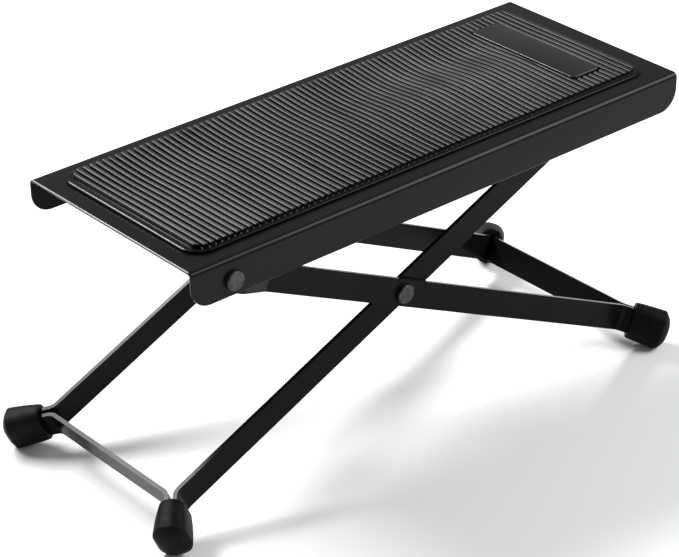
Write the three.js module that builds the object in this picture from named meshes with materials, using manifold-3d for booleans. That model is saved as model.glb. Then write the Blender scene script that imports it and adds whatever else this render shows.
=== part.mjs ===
// Folding guitar footrest: a ribbed deck on two crossed strap frames that fold flat under it.
// Millimetres, +Z up. The deck's length runs along X, its free end to +X, and its width along Y.
// Rests on the floor at z = 0, with the middle of its bounding box over the origin.
import * as THREE from 'three';
import { mergeVertices } from 'three/addons/utils/BufferGeometryUtils.js';
import Module from 'manifold-3d';

const wasm = await Module();
wasm.setup();

// Driving dimensions

const runningGap = 0.3;        // between pieces that touch or turn on each other
const overrun = 2;             // how far a cutting tool passes what it cuts
const weldWithin = 1e-5;       // corners closer than this are one corner

const deck = {
  length: 286.2,
  width: 113,                  // over the two side flanges
  sheet: 1.4,
  drop: 17.9,                  // top face to the flanges' lower edges
  bendInside: 1.2,             // inside radius of the folds
  cornerRadius: 10,            // lower corners of the flanges
};

const pad = {
  endMargin: 9,                // deck's left end to the pad's lip
  freeEndMargin: 10.9,         // deck's free end to the pad's lip
  sideMargin: 8.9,             // deck's side to the pad's lip
  lip: 1.2,                    // thickness of the smooth base
  endLipWidth: 3.3,            // how far the base shows past the first and last ribs
  lipWidth: 2.7,               // how far it shows past the ribs' ends
  cornerRadius: 9,
  ribHeight: 1.75,             // ribs above the base
  ribPitch: 3.33,
  crestShare: 0.58,            // flat top of a rib, as a share of the pitch
  grooveShare: 0.16,           // flat bottom of a groove, as a share of the pitch
};

const badge = {
  width: 17.6,
  length: 68.5,
  thickness: 2.4,
  cornerRadius: 2.4,
  fromFreeEnd: 37.5,           // deck's free end to the badge's middle
};

const strap = { width: 12.7, thickness: 2 };

const outerFrame = {
  reach: 273.8,                // deck rivet to the crossbar's outer face
  stepIn: 6.8,                 // how far the strap steps inward from the flanges
  stepStart: 9,                // deck rivet to where it starts to
};

const innerFrame = {
  reach: 140.4,                // scissor rivet to the crossbar's outer face
};

const corner = {
  bendInside: 5,               // inside radius where the strap turns out to a foot
  hairpinInside: 1,            // inside radius where it turns back in the boot
  hairpinDepth: 14,            // corner of the frame to the hairpin's centre
};

const boot = {
  sideWall: 4.3,               // rubber beside the strap, at the shoulder
  topWall: 2.9,                // rubber above and below the strap, at the shoulder
  mouth: 3.9,                  // corner of the frame to the boot's open end
  endWall: 2.2,                // rubber past the strap's hairpin, to the edge of the domed end
  domeLength: 3.6,
  soleDepth: 0.6,              // flat worn where the boot meets the floor
};

const linkage = {
  pivotFromEnd: 21.6,          // deck's left end to the deck rivets
  pivotToCross: 112.6,         // deck rivet to scissor rivet
  outerUnderSheet: 2.75,       // deck's sheet to the outer strap's end at the deck rivet
  innerUnderSheet: 6.63,       // deck's sheet to the inner strap's end at the rod
};

const degrees = {
  outerSlope: 25.6,            // outer frame below the deck, as the stand is set up
  innerSlope: 23.9,            // inner frame below the deck, the other way
  raisedTurn: 18,              // outer frame's turn from here to the top notch
  step: 20,                    // slant of the outer strap where it steps inward
};

const rod = { diameter: 6, tenon: 4.4 };

const rack = {
  thickness: 2,
  fromInnerFrame: 2,           // inner frame's strap to the rack's web
  tab: 12,                     // width of the strip that is welded to the deck
  notchPitch: 10.9,            // nearly: the notches are spread evenly
  notchDepth: 4.4,
  flareShare: 1.15,            // notch's mouth, as a share of its width
  endMargin: 7.5,              // last notch's middle to the rack's end
};

const rivet = {
  head: 8.8,
  headHeight: 1.9,
  edge: 0.5,                   // chamfer of the head's and the set end's rims
  rimShare: 0.78,              // height of the head's rim, as a share of the head's
  topShare: 0.5,               // flat on top of the head, as a share of its diameter
  shank: 5.4,
  set: 8.2,
  setHeight: 1.6,
};

const washer = { diameter: 10.4, thickness: 0.8 };

const steps = { bend: 6, hairpin: 14, round: 32, fillet: 6, boot: 36, settling: 12 };

const sectionPower = 2.8;      // of a boot's outline: 2 gives an oval, more is squarer

// Finishes

const finish = {
  blackPaint: { color: 0x26282b, roughness: 0.42, metalness: 0.35 },
  strapPaint: { color: 0x1c1d1f, roughness: 0.45, metalness: 0.35 },
  ribbedRubber: { color: 0x3a3b3d, roughness: 0.7, metalness: 0 },
  bootRubber: { color: 0x2b2c2e, roughness: 0.75, metalness: 0 },
  gloss: { color: 0x151617, roughness: 0.2, metalness: 0.1 },
  gunmetal: { color: 0x6d7074, roughness: 0.32, metalness: 0.85 },
  zinc: { color: 0x8b8f93, roughness: 0.35, metalness: 0.8 },
};

// Solids

function toSolid(geometry) {
  const bare = geometry.clone();
  bare.deleteAttribute('normal');
  bare.deleteAttribute('uv');
  const merged = mergeVertices(bare, weldWithin);
  return new wasm.Manifold(new wasm.Mesh({
    numProp: 3,
    vertProperties: new Float32Array(merged.attributes.position.array),
    triVerts: new Uint32Array(merged.index.array),
  }));
}

function toGeometry(solid) {
  const mesh = solid.getMesh();
  const geometry = new THREE.BufferGeometry();
  geometry.setAttribute('position', new THREE.BufferAttribute(mesh.vertProperties, mesh.numProp));
  geometry.setIndex(new THREE.BufferAttribute(mesh.triVerts, 1));
  const faceted = geometry.toNonIndexed();
  faceted.computeVertexNormals();
  return faceted;
}

function cut(geometry, tools) {
  const whole = toSolid(geometry);
  return toGeometry(tools.reduce((solid, tool) => solid.subtract(toSolid(tool)), whole));
}

// Keeps what lies inside the other solid.
function trim(geometry, within) {
  return toGeometry(toSolid(geometry).intersect(toSolid(within)));
}

function join(geometries) {
  return toGeometry(geometries.map(toSolid).reduce((all, next) => all.add(next)));
}

function piece(name, geometry, look) {
  const mesh = new THREE.Mesh(geometry, new THREE.MeshStandardMaterial(look));
  mesh.name = name;
  return mesh;
}

// A shape drawn in x and y, given thickness along z, about the middle.
function extrudedShape(shape, depth, curveSegments = steps.fillet) {
  const geometry = new THREE.ExtrudeGeometry(shape, { depth, bevelEnabled: false, curveSegments });
  return geometry.translate(0, 0, -depth / 2);
}

// The same from a list of points.
function extruded(points, depth) {
  return extrudedShape(new THREE.Shape(points), depth);
}

// A rectangle with round corners, centred on the origin, as a list of points.
function roundedRectangle(width, height, radius, arcSteps = steps.fillet) {
  const points = [];
  const corners = [[1, 1], [-1, 1], [-1, -1], [1, -1]];
  corners.forEach(([sx, sy], quarter) => {
    for (let i = 0; i <= arcSteps; i++) {
      const angle = (quarter + i / arcSteps) * Math.PI / 2;
      points.push(new THREE.Vector2(
        sx * (width / 2 - radius) + radius * Math.cos(angle),
        sy * (height / 2 - radius) + radius * Math.sin(angle)));
    }
  });
  return points;
}

// A round piece about the Y axis from a profile of radius and place pairs.
function turned(profile) {
  return new THREE.LatheGeometry(profile.map(([r, y]) => new THREE.Vector2(r, y)), steps.round);
}

// A round bar along Y, centred at the given place.
function crossCylinder(radius, length, x = 0, y = 0, z = 0) {
  return new THREE.CylinderGeometry(radius, radius, length, steps.round).translate(x, y, z);
}

// Joins rings of equal point counts into one closed skin, with a fan over each end.
function loft(rings) {
  const count = rings[0].length;
  const positions = rings.flat().flatMap((p) => [p.x, p.y, p.z]);
  const index = [];
  for (let r = 0; r + 1 < rings.length; r++) {
    for (let i = 0; i < count; i++) {
      const a = r * count + i;
      const b = r * count + (i + 1) % count;
      index.push(a, b, b + count, a, b + count, a + count);
    }
  }
  for (const [start, flip] of [[0, true], [(rings.length - 1) * count, false]]) {
    for (let i = 1; i + 1 < count; i++) {
      index.push(start, start + (flip ? i + 1 : i), start + (flip ? i : i + 1));
    }
  }
  const geometry = new THREE.BufferGeometry();
  geometry.setAttribute('position', new THREE.Float32BufferAttribute(positions, 3));
  geometry.setIndex(index);
  return geometry;
}

// Places that several pieces share, in the deck's frame: x from its middle, z from its top face

const radians = THREE.MathUtils.degToRad;
const flangeInner = deck.width / 2 - deck.sheet;
const pivot = {
  x: -deck.length / 2 + linkage.pivotFromEnd,
  z: -deck.sheet - linkage.outerUnderSheet - strap.width / 2,
};
const outerSlope = radians(degrees.outerSlope);
const innerSlope = radians(degrees.innerSlope);
const crossing = {
  x: pivot.x + linkage.pivotToCross * Math.cos(outerSlope),
  z: pivot.z - linkage.pivotToCross * Math.sin(outerSlope),
};
const rodHeight = -deck.sheet - linkage.innerUnderSheet - strap.width / 2;
const crossToRod = (rodHeight - crossing.z) / Math.sin(innerSlope);
const outerFace = flangeInner - runningGap - outerFrame.stepIn;
const innerFace = outerFace - strap.thickness - runningGap;
const pinHole = rivet.shank / 2 + runningGap;

// Where the rod lies along the deck once the outer frame has turned by an angle.
function rodAlong(turn) {
  return pivot.x + linkage.pivotToCross * Math.cos(outerSlope + turn)
    + crossToRod * Math.cos(innerSlope + turn);
}

// Deck

function deckSection() {
  const shape = new THREE.Shape();
  const half = deck.width / 2;
  const inner = deck.bendInside;
  const outer = inner + deck.sheet;
  shape.moveTo(-half, -deck.drop);
  shape.lineTo(-half, -outer);
  shape.absarc(-half + outer, -outer, outer, Math.PI, Math.PI / 2, true);
  shape.lineTo(half - outer, 0);
  shape.absarc(half - outer, -outer, outer, Math.PI / 2, 0, true);
  shape.lineTo(half, -deck.drop);
  shape.lineTo(half - deck.sheet, -deck.drop);
  shape.lineTo(half - deck.sheet, -outer);
  shape.absarc(half - outer, -outer, inner, 0, Math.PI / 2, false);
  shape.lineTo(-half + outer, -deck.sheet);
  shape.absarc(-half + outer, -outer, inner, Math.PI / 2, Math.PI, false);
  shape.lineTo(-half + deck.sheet, -deck.drop);
  return shape;
}

// Cuts both flanges' lower corner to an arc, at the deck's end on one side (-1 or 1).
function flangeCornerTool(side) {
  const r = deck.cornerRadius;
  const shape = new THREE.Shape();
  const end = side * deck.length / 2;
  const centre = end - side * r;
  const low = -deck.drop;
  shape.moveTo(centre, low);
  shape.absarc(centre, low + r, r, -Math.PI / 2, side > 0 ? 0 : -Math.PI, side < 0);
  shape.lineTo(end + side * overrun, low + r);
  shape.lineTo(end + side * overrun, low - overrun);
  shape.lineTo(centre, low - overrun);
  return extrudedShape(shape, deck.width + 2 * overrun, steps.round / 2).rotateX(Math.PI / 2);
}

function deckPlate() {
  const section = extrudedShape(deckSection(), deck.length).rotateX(Math.PI / 2).rotateZ(Math.PI / 2);
  const holes = crossCylinder(pinHole, deck.width + 2 * overrun, pivot.x, 0, pivot.z);
  const solid = cut(section, [flangeCornerTool(-1), flangeCornerTool(1), holes]);
  return piece('deck_plate', solid, finish.blackPaint);
}

// Pad and badge

const padLength = deck.length - pad.endMargin - pad.freeEndMargin;
const padWidth = deck.width - 2 * pad.sideMargin;
const padMiddle = (pad.endMargin - pad.freeEndMargin) / 2;
const badgePlace = deck.length / 2 - badge.fromFreeEnd;

// The pad is drawn about its own middle. The outermost ribs end on the round corners.
function ribbedPad() {
  const length = padLength - 2 * pad.endLipWidth;
  const width = padWidth - 2 * pad.lipWidth;
  const count = Math.round(length / pad.ribPitch);
  const pitch = length / count;
  const crest = pitch * pad.crestShare / 2;
  const foot = pitch * (1 - pad.grooveShare) / 2;
  const root = pad.lip / 2;
  const top = pad.lip + pad.ribHeight;
  const outline = [new THREE.Vector2(-length / 2, root)];
  for (let i = 0; i < count; i++) {
    const middle = -length / 2 + (i + 1 / 2) * pitch;
    outline.push(
      new THREE.Vector2(middle - foot, pad.lip),
      new THREE.Vector2(middle - crest, top),
      new THREE.Vector2(middle + crest, top),
      new THREE.Vector2(middle + foot, pad.lip),
    );
  }
  outline.push(new THREE.Vector2(length / 2, root));
  const base = extruded(roundedRectangle(padLength, padWidth, pad.cornerRadius), pad.lip)
    .translate(0, 0, pad.lip / 2);
  const field = extruded(roundedRectangle(length, width, pad.cornerRadius - pad.lipWidth), 2 * top);
  const ribs = trim(extruded(outline, width).rotateX(Math.PI / 2), field);
  const recess = new THREE.BoxGeometry(
    badge.width + 2 * runningGap,
    badge.length + 2 * runningGap,
    2 * pad.ribHeight,
  ).translate(badgePlace - padMiddle, 0, top);
  const mesh = piece('rubber_pad', cut(join([base, ribs]), [recess]), finish.ribbedRubber);
  mesh.position.set(padMiddle, 0, runningGap);
  return mesh;
}

function badgePlate() {
  const outline = roundedRectangle(badge.width, badge.length, badge.cornerRadius);
  const mesh = piece('badge_plate', extruded(outline, badge.thickness), finish.gloss);
  mesh.position.set(badgePlace, 0, pad.lip + 2 * runningGap + badge.thickness / 2);
  return mesh;
}

// Notched racks under the deck, which the rod seats in

const rackTop = -deck.sheet - runningGap;
const toothTip = rodHeight + rod.diameter / 2 + runningGap;
const rackWeb = innerFace - strap.thickness - rack.fromInnerFrame;

function notchRack(name, side) {
  const lowest = rodAlong(0);
  const highest = rodAlong(radians(degrees.raisedTurn));
  const spaces = Math.round((lowest - highest) / rack.notchPitch);
  const radius = rod.diameter / 2 + runningGap;
  const mouth = radius * rack.flareShare;
  const seat = toothTip + rack.notchDepth - radius;
  const [start, end] = [highest - rack.endMargin, lowest + rack.endMargin];
  const outline = [new THREE.Vector2(start, rackTop), new THREE.Vector2(start, toothTip)];
  for (let n = 0; n <= spaces; n++) {
    const middle = highest + (lowest - highest) * n / spaces;
    outline.push(new THREE.Vector2(middle - mouth, toothTip));
    for (let i = 0; i <= steps.hairpin; i++) {
      const angle = Math.PI * (1 - i / steps.hairpin);
      outline.push(new THREE.Vector2(
        middle + radius * Math.cos(angle),
        seat + radius * Math.sin(angle),
      ));
    }
    outline.push(new THREE.Vector2(middle + mouth, toothTip));
  }
  outline.push(new THREE.Vector2(end, toothTip), new THREE.Vector2(end, rackTop));
  const web = extruded(outline, rack.thickness).rotateX(Math.PI / 2)
    .translate(0, side * (rackWeb - rack.thickness / 2), 0);
  const tab = new THREE.BoxGeometry(end - start, rack.tab, rack.thickness)
    .translate((start + end) / 2, side * (rackWeb - rack.tab / 2), rackTop - rack.thickness / 2);
  return piece(name, join([web, tab]), finish.zinc);
}

// Strap frames: the strap's middle line is drawn in the frame's own plane, x along the legs, y across

// Draws both edges of a strap while it walks along its middle line.
class StrapPen {
  constructor(x, y, heading) {
    Object.assign(this, { x, y, heading, left: [], right: [] });
    this.mark();
  }

  mark() {
    const half = strap.thickness / 2;
    const [nx, ny] = [-Math.sin(this.heading), Math.cos(this.heading)];
    this.left.push(new THREE.Vector2(this.x + nx * half, this.y + ny * half));
    this.right.push(new THREE.Vector2(this.x - nx * half, this.y - ny * half));
  }

  straight(length) {
    this.x += length * Math.cos(this.heading);
    this.y += length * Math.sin(this.heading);
    this.mark();
    return this;
  }

  // Turns left by a positive angle and right by a negative one, on an arc of the middle line.
  bend(angle, radius, count = steps.bend) {
    const side = Math.sign(angle);
    const cx = this.x - side * radius * Math.sin(this.heading);
    const cy = this.y + side * radius * Math.cos(this.heading);
    const start = this.heading;
    for (let i = 1; i <= count; i++) {
      this.heading = start + angle * i / count;
      this.x = cx + side * radius * Math.sin(this.heading);
      this.y = cy - side * radius * Math.cos(this.heading);
      this.mark();
    }
    return this;
  }

  outline() {
    return [...this.right, ...this.left.reverse()];
  }
}

// How far a bend's straight sides stop short of their crossing.
const tangent = (angle, radius) => radius * Math.tan(Math.abs(angle) / 2);

const footBend = corner.bendInside + strap.thickness / 2;
const hairpin = corner.hairpinInside + strap.thickness / 2;

// One frame: near leg, near foot, crossbar, far foot, far leg. `legEnd` is the place of the legs'
// free ends, `faceY` the legs' outer face and `barOuter` the crossbar's. `step` says where each leg
// steps inward by `rise` on its way to the foot, if it does.
function strapFrame(legEnd, faceY, barOuter, step) {
  const eighth = Math.PI / 4;
  const legY = faceY - strap.thickness / 2;
  const barX = barOuter - strap.thickness / 2;
  const fold = tangent(eighth, footBend);
  const offset = Math.SQRT2 * hairpin;
  const diagonal = corner.hairpinDepth + hairpin - fold;
  const barLength = 2 * (legY - offset - fold);
  const legLength = barX - offset - fold - legEnd;
  const pen = new StrapPen(legEnd, step ? -legY - step.rise : -legY, 0);
  // A leg's moves from its free end to its foot, each a length or a turn to the left. The other leg
  // makes the same moves in reverse.
  const moves = [legLength];
  if (step) {
    const bends = 2 * footBend * (1 - Math.cos(step.angle));
    const slant = (step.rise - bends) / Math.sin(step.angle);
    const run = 2 * footBend * Math.sin(step.angle) + slant * Math.cos(step.angle);
    moves.splice(0, 1, step.start - legEnd, { turn: step.angle }, slant, { turn: -step.angle },
      legLength - run - (step.start - legEnd));
  }
  const walkLeg = (list) => list.forEach((move) => {
    if (typeof move === 'number') pen.straight(move);
    else pen.bend(move.turn, footBend);
  });
  const walkFoot = () => pen.bend(-eighth, footBend).straight(diagonal)
    .bend(Math.PI, hairpin, steps.hairpin).straight(diagonal).bend(-eighth, footBend);
  walkLeg(moves);
  walkFoot();
  pen.straight(barLength);
  walkFoot();
  walkLeg([...moves].reverse());
  return extruded(pen.outline(), strap.width);
}

// Rounds the legs' free ends about the rivet or rod at `centre`, over a width of `across`.
function roundEndTool(centre, across) {
  const radius = strap.width / 2;
  const shape = new THREE.Shape();
  const [far, beyond] = [centre - radius - overrun, radius + overrun];
  shape.moveTo(centre, radius);
  shape.absarc(centre, 0, radius, Math.PI / 2, 3 * Math.PI / 2, false);
  shape.lineTo(centre, -beyond);
  shape.lineTo(far, -beyond);
  shape.lineTo(far, beyond);
  shape.lineTo(centre, beyond);
  return extrudedShape(shape, across + 2 * overrun, steps.round / 2).rotateX(Math.PI / 2);
}

// The outer frame is drawn from its deck rivet, with the scissor rivet and the crossbar to one side.
function outerLegFrame() {
  const blank = strapFrame(-strap.width / 2, outerFace, outerFrame.reach, {
    start: outerFrame.stepStart,
    rise: outerFrame.stepIn,
    angle: radians(degrees.step),
  });
  const across = 2 * flangeInner;
  return piece('outer_leg_frame', cut(blank, [
    roundEndTool(0, across),
    crossCylinder(pinHole, across),
    crossCylinder(pinHole, across, linkage.pivotToCross),
  ]), finish.strapPaint);
}

// The inner frame is drawn from its scissor rivet: rod to one side, crossbar to the other.
function innerLegFrame() {
  const blank = strapFrame(-crossToRod - strap.width / 2, innerFace, innerFrame.reach, null);
  const across = 2 * innerFace + 2 * overrun;
  return piece('inner_leg_frame', cut(blank, [
    roundEndTool(-crossToRod, across),
    crossCylinder(pinHole, across),
    crossCylinder(rod.tenon / 2 + runningGap, across, -crossToRod),
  ]), finish.strapPaint);
}

// Round bar between the inner frame's upper ends, with a thinner tenon set flush in each strap
function crossRod() {
  const body = innerFace - strap.thickness - runningGap;
  return piece('cross_rod', turned([
    [0, -innerFace],
    [rod.tenon / 2, -innerFace],
    [rod.tenon / 2, -body],
    [rod.diameter / 2, -body],
    [rod.diameter / 2, body],
    [rod.tenon / 2, body],
    [rod.tenon / 2, innerFace],
    [0, innerFace],
  ]), finish.zinc);
}

// Boots: drawn with x out along the foot, z along the strap's width, from the frame's corner

const cavityHalf = hairpin + strap.thickness / 2 + runningGap;
const cavityHalfHeight = strap.width / 2 + runningGap;
const shoulder = corner.hairpinDepth + cavityHalf + boot.endWall;

// Walls at places along the boot's body, as shares of the shoulder's, and half sizes along its
// domed end, as shares of the shoulder's. `along` is a share of the body's or the dome's length.
const bodyShares = [
  { along: 0, wide: 0.62, high: 0.78 },
  { along: 0.12, wide: 0.68, high: 0.84 },
  { along: 0.55, wide: 0.9, high: 0.96 },
  { along: 1, wide: 1, high: 1 },
];
const domeShares = [
  { along: 0.2, wide: 0.92, high: 0.94 },
  { along: 0.58, wide: 0.74, high: 0.78 },
  { along: 0.88, wide: 0.46, high: 0.53 },
  { along: 1, wide: 0.16, high: 0.2 },
];

function bootRing(x, halfWidth, halfHeight) {
  const ring = [];
  const bulge = (value) => Math.sign(value) * Math.abs(value) ** (2 / sectionPower);
  for (let i = 0; i < steps.boot; i++) {
    const angle = 2 * Math.PI * i / steps.boot;
    ring.push(new THREE.Vector3(
      x, halfWidth * bulge(Math.cos(angle)), halfHeight * bulge(Math.sin(angle))));
  }
  return ring;
}

function bootGeometry() {
  const rings = bodyShares.map(({ along, wide, high }) => bootRing(
    boot.mouth + along * (shoulder - boot.mouth),
    cavityHalf + wide * boot.sideWall,
    cavityHalfHeight + high * boot.topWall,
  ));
  domeShares.forEach(({ along, wide, high }) => rings.push(bootRing(
    shoulder + along * boot.domeLength,
    wide * (cavityHalf + boot.sideWall),
    high * (cavityHalfHeight + boot.topWall),
  )));
  const slot = [new THREE.Vector2(boot.mouth - overrun, -cavityHalf)];
  for (let i = 0; i <= steps.hairpin; i++) {
    const angle = Math.PI * (i / steps.hairpin - 1 / 2);
    slot.push(new THREE.Vector2(
      corner.hairpinDepth + cavityHalf * Math.cos(angle),
      cavityHalf * Math.sin(angle),
    ));
  }
  slot.push(new THREE.Vector2(boot.mouth - overrun, cavityHalf));
  return cut(loft(rings), [extruded(slot, 2 * cavityHalfHeight)]);
}

// One boot on a frame's corner, on the near (-1) or far (1) side.
function footBoot(name, side, faceY, barOuter) {
  const mesh = piece(name, bootGeometry(), finish.bootRubber);
  mesh.position.set(barOuter - strap.thickness / 2, side * (faceY - strap.thickness / 2), 0);
  mesh.rotation.z = side * Math.PI / 4;
  return mesh;
}

// Rivets and washers, turned about Y, with the head outside at +y

// A rivet whose head bears on a face at `headAt` and whose set end bears on a washer at `setAt`.
function rivetGeometry(headAt, setAt) {
  const low = setAt - rivet.setHeight;
  const rim = headAt + rivet.headHeight * rivet.rimShare;
  const top = headAt + rivet.headHeight;
  return turned([
    [0, low],
    [rivet.set / 2 - rivet.edge, low],
    [rivet.set / 2, low + rivet.edge],
    [rivet.set / 2, setAt],
    [rivet.shank / 2, setAt],
    [rivet.shank / 2, headAt],
    [rivet.head / 2, headAt],
    [rivet.head / 2, rim - rivet.edge],
    [rivet.head / 2 - rivet.edge, rim],
    [rivet.head / 2 * rivet.topShare, top],
    [0, top],
  ]);
}

function washerGeometry(outerAt) {
  const innerAt = outerAt - washer.thickness;
  return turned([
    [pinHole, innerAt],
    [washer.diameter / 2, innerAt],
    [washer.diameter / 2, outerAt],
    [pinHole, outerAt],
    [pinHole, innerAt],
  ]);
}

// A rivet and its washer on one side, through a stack from `outer` in to `inner`, at a place.
function rivetPair(kind, outer, inner, x, z) {
  const pieces = [];
  for (const [side, word] of [[-1, 'near'], [1, 'far']]) {
    const washerAt = inner - runningGap;
    const setAt = washerAt - washer.thickness - runningGap;
    const made = [
      piece(`${kind}_rivet_${word}`, rivetGeometry(outer + runningGap, setAt), finish.gunmetal),
      piece(`${kind}_washer_${word}`, washerGeometry(washerAt), finish.zinc),
    ];
    made.forEach((mesh) => {
      mesh.position.set(x, 0, z);
      mesh.rotation.z = side < 0 ? Math.PI : 0;
    });
    pieces.push(...made);
  }
  return pieces;
}

// Assembly

const stand = new THREE.Group();
const platform = new THREE.Group();
stand.add(platform);
const deckStack = flangeInner - runningGap - strap.thickness;
platform.add(deckPlate(), ribbedPad(), badgePlate());
platform.add(notchRack('notch_rack_near', -1), notchRack('notch_rack_far', 1));
platform.add(...rivetPair('deck', deck.width / 2, deckStack, pivot.x, pivot.z));

// The outer frame's x runs down its legs to the right, from the deck rivets.
const outer = new THREE.Group();
outer.position.set(pivot.x, 0, pivot.z);
outer.rotation.y = outerSlope;
outer.add(outerLegFrame());
outer.add(...rivetPair('cross', outerFace, innerFace - strap.thickness, linkage.pivotToCross, 0));
outer.add(footBoot('foot_boot_right_near', -1, outerFace, outerFrame.reach));
outer.add(footBoot('foot_boot_right_far', 1, outerFace, outerFrame.reach));
platform.add(outer);

// The inner frame's x runs down its legs to the left, from the scissor rivets.
const inner = new THREE.Group();
inner.position.set(crossing.x, 0, crossing.z);
inner.rotation.set(0, Math.PI - innerSlope, 0);
inner.add(innerLegFrame());
inner.add(footBoot('foot_boot_left_near', -1, innerFace, innerFrame.reach));
inner.add(footBoot('foot_boot_left_far', 1, innerFace, innerFrame.reach));
const rodMesh = crossRod();
rodMesh.position.x = -crossToRod;
inner.add(rodMesh);
platform.add(inner);

// The lowest point of a mesh as it stands, in the whole stand's frame.
function lowestPoint(mesh) {
  const position = mesh.geometry.attributes.position;
  const point = new THREE.Vector3();
  const lowest = new THREE.Vector3(0, 0, Infinity);
  for (let i = 0; i < position.count; i++) {
    point.fromBufferAttribute(position, i).applyMatrix4(mesh.matrixWorld);
    if (point.z < lowest.z) lowest.copy(point);
  }
  return lowest;
}

// Lets the stand settle: tilts the platform until the boots of both frames reach the floor.
const leftBoot = inner.getObjectByName('foot_boot_left_near');
const rightBoot = outer.getObjectByName('foot_boot_right_near');
for (let i = 0; i < steps.settling; i++) {
  stand.updateMatrixWorld(true);
  const left = lowestPoint(leftBoot);
  const right = lowestPoint(rightBoot);
  platform.rotation.y += Math.atan2(right.z - left.z, right.x - left.x);
}
stand.updateMatrixWorld(true);
platform.position.z = -boot.soleDepth - lowestPoint(leftBoot).z;
stand.updateMatrixWorld(true);
const box = new THREE.Box3().setFromObject(stand, true);
platform.position.x -= (box.min.x + box.max.x) / 2;
stand.updateMatrixWorld(true);

// Wears each boot's sole flat where it meets the floor.
const floor = new THREE.BoxGeometry(2 * deck.length, 2 * deck.length, deck.length)
  .translate(0, 0, -deck.length / 2);
stand.traverse((mesh) => {
  if (!mesh.name.startsWith('foot_boot')) return;
  const below = floor.clone().applyMatrix4(mesh.matrixWorld.clone().invert());
  mesh.geometry = cut(mesh.geometry, [below]);
});

export default stand;
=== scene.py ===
"""Looks of a folding guitar footrest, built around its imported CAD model.

Sizes are in millimetres and angles in degrees. Each sub-assembly is modelled in a frame of its own,
with x along it and y across the stand, and its place turns that into metres in the stand's frame.
"""

import logging
import math
from dataclasses import dataclass
from enum import Enum
from typing import Any

import bmesh
import bpy
from mathutils import Matrix, Vector


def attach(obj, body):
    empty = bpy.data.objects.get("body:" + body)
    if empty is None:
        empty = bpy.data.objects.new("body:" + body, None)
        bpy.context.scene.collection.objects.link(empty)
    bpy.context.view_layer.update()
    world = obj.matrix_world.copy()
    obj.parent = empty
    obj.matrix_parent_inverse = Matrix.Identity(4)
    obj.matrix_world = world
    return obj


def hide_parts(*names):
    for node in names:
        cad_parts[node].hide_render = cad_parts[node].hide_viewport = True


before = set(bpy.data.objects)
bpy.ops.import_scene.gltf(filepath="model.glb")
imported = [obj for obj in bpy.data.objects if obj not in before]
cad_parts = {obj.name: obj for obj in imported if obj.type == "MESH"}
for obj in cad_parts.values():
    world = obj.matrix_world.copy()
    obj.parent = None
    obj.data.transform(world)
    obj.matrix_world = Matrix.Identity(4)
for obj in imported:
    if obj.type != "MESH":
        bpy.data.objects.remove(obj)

logging.basicConfig(level=logging.INFO, format="%(message)s")
log = logging.getLogger("footrest")

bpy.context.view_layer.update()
METRE = 1000.0  # in millimetres
GAP = 0.3  # air between pieces that touch on a real footrest
SLIGHT = 0.01  # smaller than any size here
SAME_PLACE = 1e-4  # points nearer than this are one
SMALL_STEPS = 3  # faces over a small rounding
CRISP = 38.0  # edges that turn by more than this are rounded
FEW_CORNERS = 4  # faces with more corners than this are split
MEAN = 0.5  # of a noise
QUARTER = math.pi / 2
UP = Vector((0, 0, 1))
ACROSS = Vector((0, 1, 0))


class Side(Enum):
    """The stand's two long sides. The value is the sign of y."""

    NEAR = -1
    FAR = 1

    @property
    def word(self) -> str:
        """The side's name, as the pieces' names have it."""
        return self.name.lower()


class Slot(Enum):
    """The material slots."""

    DECK = "deck_paint"
    STRAP = "strap_paint"
    TREAD = "tread_rubber"
    BOOT = "boot_rubber"
    BADGE = "badge_gloss"
    RIVET = "rivet_steel"
    RACK = "rack_steel"


class Carve(Enum):
    """What a tool does to the piece that it meets."""

    AWAY = "DIFFERENCE"
    ONTO = "UNION"
    WITHIN = "INTERSECT"


class Round(Enum):
    """What a rounding takes off a shape."""

    CORNERS = "VERTICES"
    EDGES = "EDGES"


# Materials


class Wire:
    """An output of a material's nodes. Python's operators on it add Math nodes."""

    def __init__(self, graph: "Graph", socket: bpy.types.NodeSocket) -> None:
        """Wraps a node's output socket of that graph."""
        self.graph = graph
        self.socket = socket

    def _math(self, operation: str, *values: Any) -> "Wire":
        """Adds a Math node with that operation and those two values."""
        return self.graph.node("ShaderNodeMath", {"operation": operation}, dict(enumerate(values)))

    def __add__(self, other: Any) -> "Wire":
        """This value plus another."""
        return self._math("ADD", self, other)

    def __sub__(self, other: Any) -> "Wire":
        """This value less another."""
        return self._math("SUBTRACT", self, other)

    def __rsub__(self, other: Any) -> "Wire":
        """Another value less this one."""
        return self._math("SUBTRACT", other, self)

    def __mul__(self, other: Any) -> "Wire":
        """This value times another."""
        return self._math("MULTIPLY", self, other)

    __radd__ = __add__
    __rmul__ = __mul__

    def clamped(self) -> "Wire":
        """This value, held between 0 and 1."""
        return self.graph.node("ShaderNodeClamp", {}, {0: self})


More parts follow.
